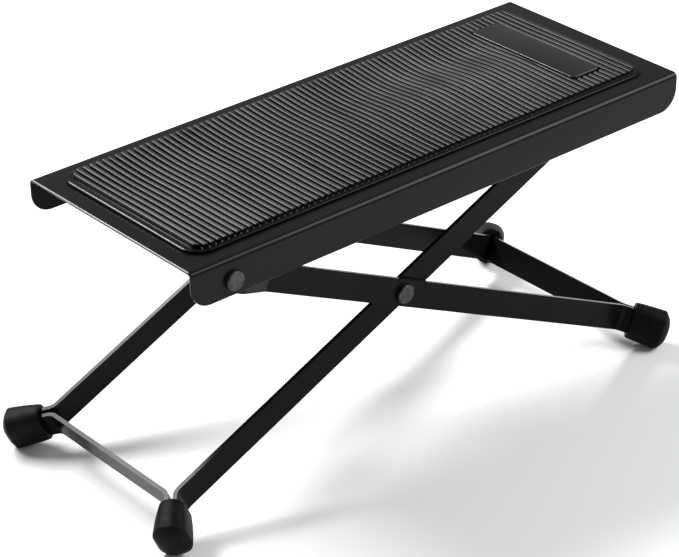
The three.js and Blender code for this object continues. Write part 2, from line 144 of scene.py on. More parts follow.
class Graph:
    """The nodes of one material."""

    def __init__(self, name: str) -> None:
        """Makes an empty material of that name with a shader and an output."""
        self.material = bpy.data.materials.new(name)
        self.material.use_nodes = True
        self.tree = self.material.node_tree
        self.shader = self.tree.nodes["Principled BSDF"]
        place = self.tree.nodes.new("ShaderNodeTexCoord")
        self.place = Wire(self, place.outputs["Object"])

    def node(self, kind: str, settings: dict[str, Any], values: dict[Any, Any],
             output: int | str = 0) -> Wire:
        """Adds a node.

        Args:
            kind: the node's type.
            settings: its properties, which are set first.
            values: numbers, colours or wires for its inputs, by name or number.
            output: which of its outputs is wanted.

        Returns:
            That output.
        """
        made = self.tree.nodes.new(kind)
        for key, value in settings.items():
            setattr(made, key, value)
        for key, value in values.items():
            self.feed(made.inputs[key], value)
        return Wire(self, made.outputs[output])

    def feed(self, socket: bpy.types.NodeSocket, value: Any) -> None:
        """Links a wire to an input, or sets its number or colour."""
        if isinstance(value, Wire):
            self.tree.links.new(value.socket, socket)
        elif socket.type == "RGBA":
            socket.default_value = (*value[:3], 1)
        else:
            socket.default_value = value

    def noise(self, scale: float, detail: float = 3.0, rough: float = 0.55,
              stretch: tuple[float, float, float] = (1.0, 1.0, 1.0)) -> Wire:
        """Soft noise on the object's own coordinates.

        Args:
            scale: waves to the metre.
            detail: how many finer octaves it has.
            rough: how strong they are.
            stretch: more waves to the metre along each axis, by these factors.

        Returns:
            The noise, from 0 to 1.
        """
        place = self.node("ShaderNodeVectorMath", {"operation": "MULTIPLY"},
                          {0: self.place, 1: stretch})
        return self.node("ShaderNodeTexNoise", {}, {
            "Vector": place, "Scale": scale, "Detail": detail, "Roughness": rough})

    def band(self, wire: Wire, low: float, high: float) -> Wire:
        """A value spread from 0 at `low` to 1 at `high`, and held there."""
        return self.node("ShaderNodeMapRange", {"interpolation_type": "SMOOTHSTEP"},
                         {0: wire, 1: low, 2: high, 3: 0.0, 4: 1.0})

    def blend(self, share: Any, low: Any, high: Any) -> Wire:
        """A colour that goes from `low` to `high` as the share rises."""
        return self.node("ShaderNodeMix", {"data_type": "RGBA"},
                         {"Factor": share, 6: low, 7: high}, output=2)

    def along(self, direction: Vector) -> Wire:
        """How far a point lies in a direction, in metres from the origin."""
        return self.node("ShaderNodeVectorMath", {"operation": "DOT_PRODUCT"},
                         {0: self.place, 1: direction}, output="Value")

    def relief(self, height: Wire, depth: float) -> Wire:
        """A surface's fine relief from heights of 0 to 1 and a depth in millimetres."""
        return self.node("ShaderNodeBump", {}, {
            "Height": height, "Distance": depth / METRE, "Strength": 1.0})

    def dress(self, **sockets: Any) -> bpy.types.Material:
        """Finishes the material.

        Args:
            sockets: the shader's values, by name with underscores for spaces.

        Returns:
            The material.
        """
        for key, value in sockets.items():
            self.feed(self.shader.inputs[key.replace("_", " ")], value)
        return self.material


def grey(level: float) -> tuple[float, float, float]:
    """An even grey."""
    return (level, level, level)


@dataclass(frozen=True)
class RubbedCorner:
    """A painted highlight: a bright line painted along a straight outer corner, where its rounding
    would catch the light.

    Attributes:
        outward: the direction that the corner points in.
        reach: how far its sharp edge would lie in that direction.
        shade: grey of the painted highlight line.
        border: how far inside that reach the line starts.
        core: how far inside it the line is at its brightest.
    """

    outward: Vector
    reach: float
    shade: float
    border: float = 0.4
    core: float = 0.3

    def rub(self, graph: Graph, colour: Wire) -> Wire:
        """Paints the highlight line onto a colour along the corner."""
        line = graph.band(graph.along(self.outward), low=(self.reach - self.border) / METRE,
                          high=(self.reach - self.core) / METRE)
        return graph.blend(line, colour, grey(self.shade))


@dataclass(frozen=True)
class PowderCoat:
    """Satin black powder coat on steel: an orange-peel skin with faint clouds and flecks, and an
    optional painted highlight along a corner.
    """

    name: str
    dark: float
    light: float
    roughness: float
    shine: float
    corner: RubbedCorner | None = None
    tint: float = 1.04
    fleck: float = 0.25
    relief: float = 0.012

    def build(self) -> bpy.types.Material:
        """Makes the material."""
        graph = Graph(self.name)
        cloud = graph.noise(scale=28.0, detail=4.0)
        skin = graph.noise(scale=620.0, detail=2.0, rough=0.4)
        grit = graph.noise(scale=2600.0, detail=1.0)
        fleck = graph.band(graph.noise(scale=1500.0, detail=0.0), low=0.66, high=0.74)
        share = (cloud * 0.7 + grit * 0.3).clamped()
        cool = (self.light, self.light, self.light * self.tint)
        colour = graph.blend(share, grey(self.dark), cool)
        colour = graph.blend(fleck * self.fleck, colour, grey(self.light * 2))
        # Painted highlight along the corner's rounding, when a corner is given.
        if self.corner is not None:
            colour = self.corner.rub(graph, colour)
        rough = (cloud - MEAN) * 0.08 + (skin - MEAN) * 0.06 + self.roughness
        height = skin * 0.8 + grit * 0.2
        return graph.dress(Base_Color=colour, Roughness=rough, Specular_IOR_Level=self.shine,
                           Normal=graph.relief(height, self.relief))


@dataclass(frozen=True)
class TreadRubber:
    """Ribbed mat: crests lighter with dust and painted highlight streaks, grooves painted dark as
    shade, and the lip black.

    Attributes:
        name: the material's name.
        groove: grey of the lip and of the grooves, where it is painted shade.
        crest: grey of the lightest crests, partly dust and partly painted highlight.
        deck_up: the direction in which the ribs stand.
        low: how far in it the crests start to turn light from the painted groove shade.
        high: how far in it they are fully light.
        corner: the painted highlight along the end of the lip.
        roughness: the grooves' least roughness.
        shine: strength of the sheen.
        relief: depth of the grain.
    """

    name: str
    groove: float
    crest: float
    deck_up: Vector
    low: float
    high: float
    corner: RubbedCorner
    roughness: float = 0.17
    shine: float = 0.16
    relief: float = 0.03

    def build(self) -> bpy.types.Material:
        """Makes the material."""
        graph = Graph(self.name)
        height = graph.band(graph.along(self.deck_up), low=self.low / METRE,
                            high=self.high / METRE)
        wide = graph.noise(scale=9.0, detail=1.0)
        cloud = graph.noise(scale=38.0, detail=5.0, rough=0.6)
        grain = graph.noise(scale=1400.0, detail=3.0)
        # Painted highlight streaks and patches along the ribs, in place of the light that their
        # tilt catches, mixed with dust clouds.
        highlight_streak = graph.noise(scale=1.0, detail=3.0, rough=0.6, stretch=(190.0, 14.0, 1.0))
        dust_and_highlight_patches = wide * 1.6 + cloud * 0.4 + highlight_streak * 1.3 - 1.0
        # Light crests over dark grooves: dust, painted highlight and painted groove shade.
        dust_and_painted_light = (height * dust_and_highlight_patches).clamped()
        colour = graph.blend(dust_and_painted_light, grey(self.groove), grey(self.crest))
        # Painted highlight line along the lip's end edge.
        colour = self.corner.rub(graph, colour)
        rough = self.roughness + grain * 0.08 + height * 0.14
        return graph.dress(Base_Color=colour, Roughness=rough, Specular_IOR_Level=self.shine,
                           Normal=graph.relief(grain * 0.7 + cloud * 0.3, self.relief))


@dataclass(frozen=True)
class BootRubber:
    """Moulded rubber with a matt, slightly scuffed skin."""

    name: str
    dark: float
    light: float
    roughness: float = 0.48
    shine: float = 0.08
    relief: float = 0.09

    def build(self) -> bpy.types.Material:
        """Makes the material."""
        graph = Graph(self.name)
        cloud = graph.noise(scale=130.0, detail=5.0, rough=0.65)
        grain = graph.noise(scale=1700.0, detail=3.0)
        scuff = graph.band(graph.noise(scale=320.0, detail=6.0, rough=0.7), low=0.5, high=0.72)
        colour = graph.blend(cloud * 0.4 + scuff * 0.6, grey(self.dark), grey(self.light))
        rough = self.roughness + scuff * 0.2 + grain * 0.1
        return graph.dress(Base_Color=colour, Roughness=rough, Specular_IOR_Level=self.shine,
                           Normal=graph.relief(grain * 0.5 + scuff * 0.5, self.relief))


@dataclass(frozen=True)
class Gloss:
    """Smooth black moulding with a soft ripple in its shine and a little dust."""

    name: str
    dark: float
    roughness: float = 0.24
    relief: float = 0.02

    def build(self) -> bpy.types.Material:
        """Makes the material."""
        graph = Graph(self.name)
        ripple = graph.noise(scale=160.0, detail=2.0)
        dust = graph.band(graph.noise(scale=2200.0, detail=1.0), low=0.7, high=0.8)
        colour = graph.blend(dust * 0.3, grey(self.dark), grey(self.dark * 4))
        rough = ripple * 0.1 + dust * 0.2 + self.roughness
        return graph.dress(Base_Color=colour, Roughness=rough,
                           Normal=graph.relief(ripple, self.relief))


@dataclass(frozen=True)
class Plate:
    """Plated steel with a fine grit and a cloudy tarnish."""

    name: str
    colour: tuple[float, float, float]
    roughness: float
    metal: float = 0.9
    tarnish: float = 0.4
    relief: float = 0.01

    def build(self) -> bpy.types.Material:
        """Makes the material."""
        graph = Graph(self.name)
        cloud = graph.band(graph.noise(scale=420.0, detail=5.0, rough=0.7), low=0.3, high=0.7)
        grit = graph.noise(scale=2400.0, detail=3.0)
        dull = tuple(part * self.tarnish for part in self.colour)
        colour = graph.blend(cloud, dull, self.colour)
        rough = (cloud - MEAN) * 0.2 + (grit - MEAN) * 0.1 + self.roughness
        return graph.dress(Base_Color=colour, Roughness=rough, Metallic=self.metal,
                           Normal=graph.relief(grit, self.relief))


@dataclass(frozen=True)
class Linkage:
    """Where the sub-assemblies stand.

    Attributes:
        deck_middle: the middle of the deck's top, in the stand's frame.
        deck_tilt: the deck's turn from level.
        pivot: the deck rivets' line, in the deck's frame.
        outer_slope: the outer frame's slope against the deck.
        inner_slope: the inner frame's.
        pivot_to_cross: from the deck rivets to the scissor rivets.
        cross_to_rod: from those to the rod.
        inner_face: the inner frame's half width.
        inner_bar: from its scissor rivets to the outside of its crossbar.
    """

    deck_middle: tuple[float, float, float] = (5.9698, 0.0, 136.8966)
    deck_tilt: float = -2.5465
    pivot: tuple[float, float, float] = (-121.5, 0.0, -10.5)
    outer_slope: float = 25.6
    inner_slope: float = 23.9
    pivot_to_cross: float = 112.6
    cross_to_rod: float = 110.51
    inner_face: float = 45.7
    inner_bar: float = 140.4

    def deck(self) -> Matrix:
        """The deck's frame in the stand's, in millimetres."""
        return Matrix.Translation(self.deck_middle) @ self._turn(self.deck_tilt)

    def outer(self) -> Matrix:
        """The outer frame's, from its deck rivets, with x down its legs."""
        return self.deck() @ Matrix.Translation(self.pivot) @ self._turn(self.outer_slope)

    def inner(self) -> Matrix:
        """The inner frame's, from its scissor rivets, with x down its legs the other way."""
        slope = math.radians(self.outer_slope)
        down = Vector((math.cos(slope), 0, -math.sin(slope)))
        cross = Vector(self.pivot) + self.pivot_to_cross * down
        return self.deck() @ Matrix.Translation(cross) @ self._turn(180 - self.inner_slope)

    @staticmethod
    def _turn(angle: float) -> Matrix:
        """A turn about the line across the stand."""
        return Matrix.Rotation(math.radians(angle), 4, "Y")


# Modelling


def verts_of(geometry: list[Any]) -> list[bmesh.types.BMVert]:
    """The vertices among an operator's results."""
    return [part for part in geometry if isinstance(part, bmesh.types.BMVert)]


def edges_of(geometry: list[Any]) -> list[bmesh.types.BMEdge]:
    """The edges among an operator's results."""
    return [part for part in geometry if isinstance(part, bmesh.types.BMEdge)]


def all_of(shape: bmesh.types.BMesh) -> list[Any]:
    """A shape's vertices, edges and faces."""
    return [*shape.verts, *shape.edges, *shape.faces]


def face_outward(shape: bmesh.types.BMesh) -> None:
    """Turns a shape's faces one way, which is outward on a closed shape."""
    bmesh.ops.recalc_face_normals(shape, faces=shape.faces[:])


def round_off(shape: bmesh.types.BMesh, where: list[Any], radius: float, steps: int = SMALL_STEPS,
              what: Round = Round.CORNERS) -> None:
    """Rounds a shape.

    Args:
        shape: the shape.
        where: its corners or edges to round.
        radius: the rounding's radius.
        steps: how many faces go over it.
        what: whether they are corners or edges.
    """
    bmesh.ops.bevel(shape, geom=where, offset=radius, segments=steps, profile=0.5,
                    affect=what.value, material=-1)


def new_object(mesh_maker: bmesh.types.BMesh, name: str) -> bpy.types.Object:
    """Turns a finished bmesh into an object and frees it."""
    mesh = bpy.data.meshes.new(name)
    mesh_maker.to_mesh(mesh)
    mesh_maker.free()
    made = bpy.data.objects.new(name, mesh)
    bpy.context.scene.collection.objects.link(made)
    return made


def settle(piece: bpy.types.Object) -> None:
    """Makes a piece's modifiers part of its mesh."""
    graph = bpy.context.evaluated_depsgraph_get()
    settled = bpy.data.meshes.new_from_object(piece.evaluated_get(graph))
    plain = piece.data
    piece.modifiers.clear()
    piece.data = settled
    bpy.data.meshes.remove(plain)


def carve(piece: bpy.types.Object, tool: bmesh.types.BMesh, how: Carve) -> None:
    """Cuts a tool out of a piece, or joins it on, and merges what comes to lie at one place."""
    cutter = new_object(tool, "tool")
    boolean = piece.modifiers.new("carve", "BOOLEAN")
    boolean.operation = how.value
    boolean.solver = "EXACT"
    boolean.object = cutter
    settle(piece)
    bpy.data.objects.remove(cutter)
    merged = bmesh.new()
    merged.from_mesh(piece.data)
    bmesh.ops.remove_doubles(merged, verts=merged.verts[:], dist=SLIGHT)
    merged.to_mesh(piece.data)
    merged.free()


def round_bar(radius: float, length: float, centre: Vector, steps: int = 48) -> bmesh.types.BMesh:
    """A plain round bar along y, as a tool."""
    bar = bmesh.new()
    turn = Matrix.Translation(centre) @ Matrix.Rotation(QUARTER, 4, "X")
    bmesh.ops.create_cone(bar, cap_ends=True, segments=steps, radius1=radius, radius2=radius,
                          depth=length, matrix=turn)
    return bar


def rounded_slab(size: Vector, corner: float, edge: float, centre: Vector,
                 corner_steps: int = 8) -> bmesh.types.BMesh:
    """A flat slab with round corners and a rounded top edge.

    Args:
        size: its length, width and thickness.
        corner: the corners' radius.
        edge: the top edge's radius.
        centre: the middle of its underside.
        corner_steps: how many faces go round a corner.

    Returns:
        The slab.
    """
    slab = bmesh.new()
    flat = Matrix.Translation(centre) @ Matrix.Diagonal((size.x, size.y, 1, 1))
    bmesh.ops.create_grid(slab, x_segments=1, y_segments=1, size=0.5, matrix=flat)
    round_off(slab, slab.verts[:], corner, corner_steps)
    top = verts_of(bmesh.ops.extrude_face_region(slab, geom=slab.faces[:])["geom"])
    bmesh.ops.translate(slab, verts=top, vec=(0, 0, size.z))
    rim = [part for part in slab.edges if all(v in top for v in part.verts)]
    round_off(slab, rim, edge, what=Round.EDGES)
    face_outward(slab)
    return slab


def turned(profile: list[tuple[float, float]], rounds: dict[int, float],
           steps: int = 56) -> bmesh.types.BMesh:
    """A piece turned about y.

    Args:
        profile: radii and places along y, from one end to the other.
        rounds: radius of the rounding at a profile's point, by its number.
        steps: how many faces go round.

    Returns:
        The piece.
    """
    shape = bmesh.new()
    points = [shape.verts.new((radius, place, 0)) for radius, place in profile]
    for pair in zip(points, points[1:]):
        shape.edges.new(pair)
    for number, radius in rounds.items():
        round_off(shape, [points[number]], radius)
    bmesh.ops.spin(shape, geom=shape.verts[:] + shape.edges[:], cent=(0, 0, 0), axis=ACROSS,
                   dvec=(0, 0, 0), angle=2 * math.pi, steps=steps, use_merge=True,
                   use_duplicate=False)
    bmesh.ops.remove_doubles(shape, verts=shape.verts[:], dist=SAME_PLACE)
    face_outward(shape)
    return shape


@dataclass
class Assembly:
    """A sub-assembly: its place in the stand and its finishes by slot."""

    place: Matrix
    looks: dict[Slot, bpy.types.Material]

    def piece(self, made: bpy.types.Object, slot: Slot, body: str, nodes: list[str],
              sharp: float = 40.0) -> bpy.types.Object:
        """Puts a modelled object in its place and makes it a piece of the stand.

        Args:
            made: the object, in the sub-assembly's frame.
            slot: its finish.
            body: the CAD body that it rides on.
            nodes: the CAD nodes that it stands for.
            sharp: edges past this angle keep a crisp shade.

        Returns:
            The piece.
        """
        mesh = made.data
        mesh.transform(Matrix.Scale(1 / METRE, 4) @ self.place)
        mesh.materials.clear()
        mesh.materials.append(self.looks[slot])
        mesh.polygons.foreach_set("use_smooth", [True] * len(mesh.polygons))
        mesh.set_sharp_from_angle(angle=math.radians(sharp))
        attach(made, body)
        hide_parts(*nodes)
        log.info("%s: %d faces", made.name, len(mesh.polygons))
        return made

    @staticmethod
    def soften(piece: bpy.types.Object, width: float, segments: int = 2) -> None:
        """Rounds a piece's crisp edges by a radius, and splits its faces with many corners."""
        bevel = piece.modifiers.new("edges", "BEVEL")
        bevel.width = width / METRE
        bevel.segments = segments
        bevel.limit_method = "ANGLE"
        bevel.angle_limit = math.radians(CRISP)
        bevel.harden_normals = True
        bevel.use_clamp_overlap = True
        split = piece.modifiers.new("split", "TRIANGULATE")
        split.min_vertices = FEW_CORNERS + 1
        split.keep_custom_normals = True


@dataclass
class Deck(Assembly):
    """The folded steel deck and the notched racks under it."""

    length: float = 286.2
    width: float = 113.0
    sheet: float = 1.4
    drop: float = 17.9
    fold: float = 2.6
    fold_steps: int = 7
    corner: float = 10.0
    corner_steps: int = 14
    hole: float = 3.0
    hole_at: tuple[float, float] = (0.0, 0.0)
    edge: float = 0.55

    def build(self) -> None:
        """Makes the deck's plate and dresses the racks, which keep their CAD shape."""
        plate = self.plate()
        self.piece(plate, Slot.DECK, "platform", ["deck_plate"])
        self.soften(plate, self.edge)
        for side in Side:
            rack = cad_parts[f"notch_rack_{side.word}"]
            rack.data.materials.clear()
            rack.data.materials.append(self.looks[Slot.RACK])
            log.info("%s: %d faces", rack.name, len(rack.data.polygons))

    def plate(self) -> bpy.types.Object:
        """Folds the deck from one sheet.

        Returns:
            The deck, with its folds, round lower corners and rivet holes.
        """
        sheet = bmesh.new()
        half, low = self.width / 2, -self.drop
        line = [sheet.verts.new((-self.length / 2, y, z))
                for y, z in ((-half, low), (-half, 0), (half, 0), (half, low))]
        for pair in zip(line, line[1:]):
            sheet.edges.new(pair)
        round_off(sheet, line[1:3], self.fold, self.fold_steps)
        pushed = bmesh.ops.extrude_edge_only(sheet, edges=sheet.edges[:])["geom"]
        bmesh.ops.translate(sheet, vec=(self.length, 0, 0), verts=verts_of(pushed))
        lowest = [v for v in sheet.verts if v.co.z < low + SLIGHT]
        round_off(sheet, lowest, self.corner, self.corner_steps)
        face_outward(sheet)
        top = max(sheet.faces, key=lambda face: face.calc_area())
        if top.normal.z < 0:
            bmesh.ops.reverse_faces(sheet, faces=sheet.faces[:])
        plate = new_object(sheet, "deck_sheet")
        solid = plate.modifiers.new("sheet", "SOLIDIFY")
        solid.thickness = self.sheet
        solid.offset = -1
        solid.use_even_offset = True
        settle(plate)
        x, z = self.hole_at
        through = self.width * 1.2
        carve(plate, round_bar(self.hole, through, Vector((x, 0, z))), Carve.AWAY)
        return plate


@dataclass(frozen=True)
class RibLean:
    """How the soft ribs lean along the pad: in a double curve, and outward at the pad's sides.

    Attributes:
        reach: how far they lean.
        end_power: how close to the pad's ends they still do.
        place: where along the pad the curve is strongest, from -0.5 to 0.5.
        spread: how far along the pad it fades.
        least: its share where it has faded.
        peak: how narrow its middle peak is.
        wave: how many radians its swing across the pad takes to a side.
        swing: how strong that is.
        flare: how far they turn outward at both sides.
        flare_far: how much further at the far side.
    """

    reach: float = 2.0
    end_power: int = 8
    place: float = 0.21
    spread: float = 0.17
    least: float = 0.2
    peak: float = 3.3
    wave: float = 4.4
    swing: float = 0.5
    flare: float = 0.5
    flare_far: float = 0.22

    def shift(self, along: float, over: float) -> float:
        """How far a point of a rib moves.

        Args:
            along: its place along the pad, from -0.5 to 0.5.
            over: its place across it, from -1 to 1.

        Returns:
            The shift, in millimetres.
        """
        calm = 1 - (2 * along) ** self.end_power
        near = math.exp(-((along - self.place) / self.spread) ** 2)
        bend = self.least + (1 - self.least) * near
        curve = math.exp(-(self.peak * over) ** 2) - 1 - self.swing * math.sin(self.wave * over)
        flare = self.flare * abs(over) ** 3 + self.flare_far * over ** 3
        return self.reach * calm * (bend * curve + flare)


@dataclass
class Tread(Assembly):
    """The ribbed rubber pad and the blank badge let into it."""

    length: float = 266.3
    width: float = 95.2
    middle: float = -0.95
    lip: float = 1.2
    end_lip: float = 3.3
    side_lip: float = 2.7
    corner: float = 9.0
    rib_height: float = 1.75
    ribs: int = 78
    crest_share: float = 0.58
    groove_share: float = 0.16
    rib_round: float = 0.55
    root_spread: float = 0.1
    root_depth: float = 0.3
    lean: RibLean = RibLean()
    lean_steps: int = 23
    edge: float = 0.4
    badge_size: tuple[float, float, float] = (17.6, 68.5, 2.4)
    badge_corner: float = 2.4
    badge_at: float = 105.6

    def build(self) -> None:
        """Makes the pad and the badge."""
        self.piece(self.pad(), Slot.TREAD, "platform", ["rubber_pad"], sharp=50.0)
        bar = rounded_slab(Vector(self.badge_size), self.badge_corner, self.edge,
                           Vector((self.badge_at, 0, self.lip + 2 * GAP)))
        self.piece(new_object(bar, "badge_bar"), Slot.BADGE, "platform", ["badge_plate"],
                   sharp=50.0)

    def pad(self) -> bpy.types.Object:
        """Moulds the pad: a thin base with round corners and its ribs.

        Returns:
            The pad, with a recess for the badge.
        """
        ribs = new_object(self.rib_field(), "tread_pad")
        run, across = self.length - 2 * self.end_lip, self.width - 2 * self.side_lip
        field = rounded_slab(Vector((run, across, 4 * self.rib_height)),
                             self.corner - self.side_lip, self.lip / 4,
                             Vector((self.middle, 0, -self.rib_height)))
        carve(ribs, field, Carve.WITHIN)
        size = Vector(self.badge_size)
        room = bmesh.new()
        at = Matrix.Translation((self.badge_at, 0, self.lip + self.rib_height + 2 * GAP))
        bmesh.ops.create_cube(room, size=1.0, matrix=at @ Matrix.Diagonal(
            (size.x + 2 * GAP, size.y + 2 * GAP, 2 * self.rib_height, 1)))
        carve(ribs, room, Carve.AWAY)
        base = rounded_slab(Vector((self.length, self.width, self.lip)), self.corner, self.edge,
                            Vector((self.middle, 0, GAP)))
        carve(ribs, base, Carve.ONTO)
        return ribs

    def rib_field(self) -> bmesh.types.BMesh:
        """Moulds one rib across the pad, repeats it along the pad and leans them.

        Returns:
            The ribs, each a closed bar rooted in the base.
        """
        run = self.length - 2 * self.end_lip
        across = self.width / 2 - self.side_lip + 1
        pitch = run / self.ribs
        crest, foot = pitch * self.crest_share / 2, pitch * (1 - self.groove_share) / 2
        foot += self.root_spread
        root, top = GAP + self.lip - self.root_depth, GAP + self.lip + self.rib_height
        field = bmesh.new()
        first = self.middle - run / 2 + pitch / 2
        points = [field.verts.new((first + x, -across, z)) for x, z in (
            (-foot, root), (-crest, top), (crest, top), (foot, root))]
        end = field.faces.new(points)
        pushed = bmesh.ops.extrude_face_region(field, geom=[end])["geom"]
        bmesh.ops.translate(field, vec=(0, 2 * across, 0), verts=verts_of(pushed))
        long = [edge for edge in field.edges if edge.calc_length() > across]
        crests = [edge for edge in long if all(v.co.z > top - SLIGHT for v in edge.verts)]
        round_off(field, crests, self.rib_round, what=Round.EDGES)
        face_outward(field)
        long = [edge for edge in field.edges if edge.calc_length() > across]
        bmesh.ops.subdivide_edges(field, edges=long, cuts=self.lean_steps)
        bar = all_of(field)
        for number in range(1, self.ribs):
            copied = bmesh.ops.duplicate(field, geom=bar)["geom"]
            bmesh.ops.translate(field, vec=(number * pitch, 0, 0), verts=verts_of(copied))
        for vert in field.verts:
            vert.co.x += self.lean.shift((vert.co.x - self.middle) / run, vert.co.y / across)
        return field


class StrapPen:
    """Draws a strap by pushing its flat section along straights and bends."""

    def __init__(self, x: float, y: float, width: float, thickness: float) -> None:
        """Starts a strap of that width and thickness, which heads along x."""
        self.shape = bmesh.new()
        self.at = Vector((x, y, 0))
        self.heading = 0.0
        stand = Matrix.Translation(self.at) @ Matrix.Rotation(QUARTER, 4, "Y")
        bmesh.ops.create_grid(self.shape, x_segments=1, y_segments=1, size=0.5,
                              matrix=stand @ Matrix.Diagonal((width, thickness, 1, 1)))
        self.ring = self.shape.edges[:]

    def straight(self, length: float) -> "StrapPen":
        """Pushes the strap straight on."""
        step = length * Vector((math.cos(self.heading), math.sin(self.heading), 0))
        pushed = bmesh.ops.extrude_edge_only(self.shape, edges=self.ring)["geom"]
        bmesh.ops.translate(self.shape, vec=step, verts=verts_of(pushed))
        self.ring = edges_of(pushed)
        self.at += step
        return self

    def bend(self, angle: float, radius: float, steps: int = 8) -> "StrapPen":
        """Turns the strap left by a positive angle and right by a negative one."""
        turn, side = math.radians(angle), math.copysign(1, angle)
        left = Vector((-math.sin(self.heading), math.cos(self.heading), 0))
        centre = self.at + side * radius * left
        corners = dict.fromkeys(v for edge in self.ring for v in edge.verts)
        swept = bmesh.ops.spin(self.shape, geom=[*corners, *self.ring], cent=centre, axis=UP,
                               dvec=(0, 0, 0), angle=turn, steps=steps, use_merge=False,
                               use_duplicate=False)["geom_last"]
        self.ring = edges_of(swept)
        self.heading += turn
        ahead = Vector((-math.sin(self.heading), math.cos(self.heading), 0))
        self.at = centre - side * radius * ahead
        return self

    def finish(self) -> bmesh.types.BMesh:
        """Closes the strap's end and returns it."""
        bmesh.ops.edgeloop_fill(self.shape, edges=self.ring)
        bmesh.ops.remove_doubles(self.shape, verts=self.shape.verts[:], dist=SAME_PLACE)
        face_outward(self.shape)
        return self.shape


@dataclass
class StrapFrame(Assembly):
    """A leg frame bent from one strap: leg, foot, crossbar, foot, leg."""

    name: str = "frame"
    body: str = "outer_frame"
    start: float = 0.0
    face: float = 48.0
    bar: float = 273.8
    step_in: float = 0.0
    step_start: float = 9.0
    step_angle: float = 20.0
    holes: tuple[tuple[float, float], ...] = ()
    width: float = 12.7
    thickness: float = 2.0
    bend: float = 6.0
    foot_turn: float = 45.0
    hairpin: float = 2.0
    hairpin_at: float = 14.0
    hairpin_steps: int = 16
    end_steps: int = 64
    edge: float = 0.35

    def build(self) -> None:
        """Makes the frame."""
        strap = self.strap()
        self.piece(strap, Slot.STRAP, self.body, [self.name])
        self.soften(strap, self.edge)

    def strap(self) -> bpy.types.Object:
        """Bends the strap, rounds its ends about their rivets and drills it.

        Returns:
            The frame.
        """
        leg_y = self.face - self.thickness / 2
        bar_x = self.bar - self.thickness / 2
        fold = self.bend * math.tan(math.radians(self.foot_turn / 2))
        offset = self.hairpin / math.sin(math.radians(self.foot_turn))
        diagonal = self.hairpin_at + self.hairpin - fold
        leg = bar_x - offset - fold - self.start
        moves: list[tuple[float, float]] = [(leg, 0.0)]
        if self.step_in:
            angle = math.radians(self.step_angle)
            slant = (self.step_in - 2 * self.bend * (1 - math.cos(angle))) / math.sin(angle)
            run = 2 * self.bend * math.sin(angle) + slant * math.cos(angle)
            first = self.step_start - self.start
            rest = leg - run - first
            moves = [(first, self.step_angle), (slant, -self.step_angle), (rest, 0.0)]
        pen = StrapPen(self.start, -leg_y - self.step_in, self.width, self.thickness)
        for length, turn in moves:
            pen.straight(length)
            if turn:
                pen.bend(turn, self.bend)
        self._foot(pen, diagonal)
        pen.straight(2 * (leg_y - offset - fold))
        self._foot(pen, diagonal)
        turns = [turn for _, turn in moves]
        for (length, _), turn in zip(reversed(moves), [*turns[-2::-1], 0.0]):
            pen.straight(length)
            if turn:
                pen.bend(turn, self.bend)
        strap = new_object(pen.finish(), f"{self.name}_strap")
        for side in Side:
            at = Vector((self.start, side.value * (leg_y + self.step_in), 0))
            end = round_bar(self.width / 2, self.thickness, at, self.end_steps)
            carve(strap, end, Carve.ONTO)
        through = 3 * self.face
        for x, radius in self.holes:
            carve(strap, round_bar(radius, through, Vector((x, 0, 0))), Carve.AWAY)
        return strap

    def _foot(self, pen: StrapPen, diagonal: float) -> None:
        """Turns the strap out to a foot, back in its hairpin and on."""
        pen.bend(-self.foot_turn, self.bend).straight(diagonal)
        pen.bend(180, self.hairpin, self.hairpin_steps)
        pen.straight(diagonal).bend(-self.foot_turn, self.bend)


